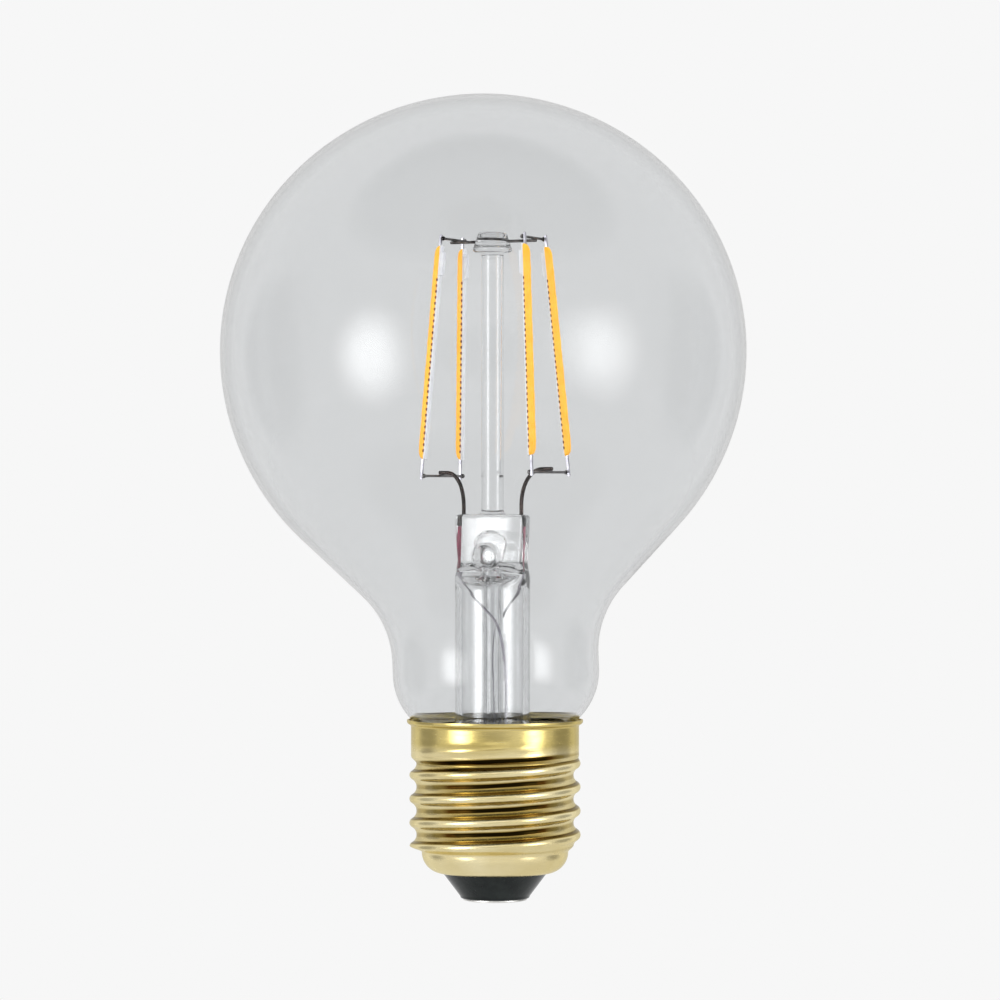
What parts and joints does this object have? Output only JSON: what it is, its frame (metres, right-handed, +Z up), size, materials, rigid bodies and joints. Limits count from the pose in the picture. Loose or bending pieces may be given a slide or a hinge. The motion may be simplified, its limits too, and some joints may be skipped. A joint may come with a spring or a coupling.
{
  "type": "globe bulb",
  "caption": "Clear globe lamp with upright filaments on a glass stem and a brass screw cap with a black insulator and a central contact.",
  "frame": {"origin": "middle of the underside of the centre contact, on the cap's axis", "axes": "+Z up along the cap's axis from the contact towards the bulb's crown, -Y towards the front, +X to the right"},
  "size_m": [0.08, 0.08, 0.1227],
  "materials": {
    "bulb_glass": "clear, grey tint",
    "stem_glass": "clear",
    "cap_brass": "bright, lightly toned",
    "black_glass": "gloss, black glass",
    "contact_metal": "satin, tinned",
    "cement": "matte",
    "lead_nickel": "dull",
    "seal_copper": "copper clad, deep red under glass",
    "lead_tin": "dull",
    "mount_wire": "dull",
    "filament_ceramic": "matte white",
    "led_chip": "dark under the bead",
    "phosphor_bead": "soft gloss, yellow orange",
    "tab_metal": "dull",
    "supply_wire": "tinned",
    "board_laminate": "satin",
    "capacitor_sleeve": "satin",
    "inductor_ferrite": "matte",
    "resistor_body": "satin",
    "package_body": "matte"
  },
  "bodies": {
    "root": {"bridge_wire": "mount_wire", "cap_cement": "cement", "cap_insulator": "black_glass", "cap_shell": "cap_brass", "centre_contact": "contact_metal", "driver_board": "board_laminate", "driver_chip": "package_body", "dumet_seal_left": "seal_copper", "dumet_seal_right": "seal_copper", "exhaust_tube": "stem_glass", "filament_strip_1": "filament_ceramic", "filament_strip_2": "filament_ceramic", "filament_strip_3": "filament_ceramic", "filament_strip_4": "filament_ceramic", "fuse_resistor": "resistor_body", "glass_envelope": "bulb_glass", "inductor": "inductor_ferrite", "inner_lead_left": "lead_nickel", "inner_lead_right": "lead_nickel", "led_chips_1": "led_chip", "led_chips_2": "led_chip", "led_chips_3": "led_chip", "led_chips_4": "led_chip", "live_wire": "supply_wire", "lower_cross_wire_left": "mount_wire", "lower_cross_wire_right": "mount_wire", "lower_tab_1": "tab_metal", "lower_tab_2": "tab_metal", "lower_tab_3": "tab_metal", "lower_tab_4": "tab_metal", "neutral_wire": "supply_wire", "outer_lead_left": "lead_tin", "outer_lead_right": "lead_tin", "phosphor_1": "phosphor_bead", "phosphor_2": "phosphor_bead", "phosphor_3": "phosphor_bead", "phosphor_4": "phosphor_bead", "rectifier": "package_body", "smoothing_capacitor": "capacitor_sleeve", "stem_flare": "stem_glass", "support_rod": "stem_glass", "upper_cross_wire_left": "mount_wire", "upper_cross_wire_right": "mount_wire", "upper_tab_1": "tab_metal", "upper_tab_2": "tab_metal", "upper_tab_3": "tab_metal", "upper_tab_4": "tab_metal"}
  },
  "joints": []
}
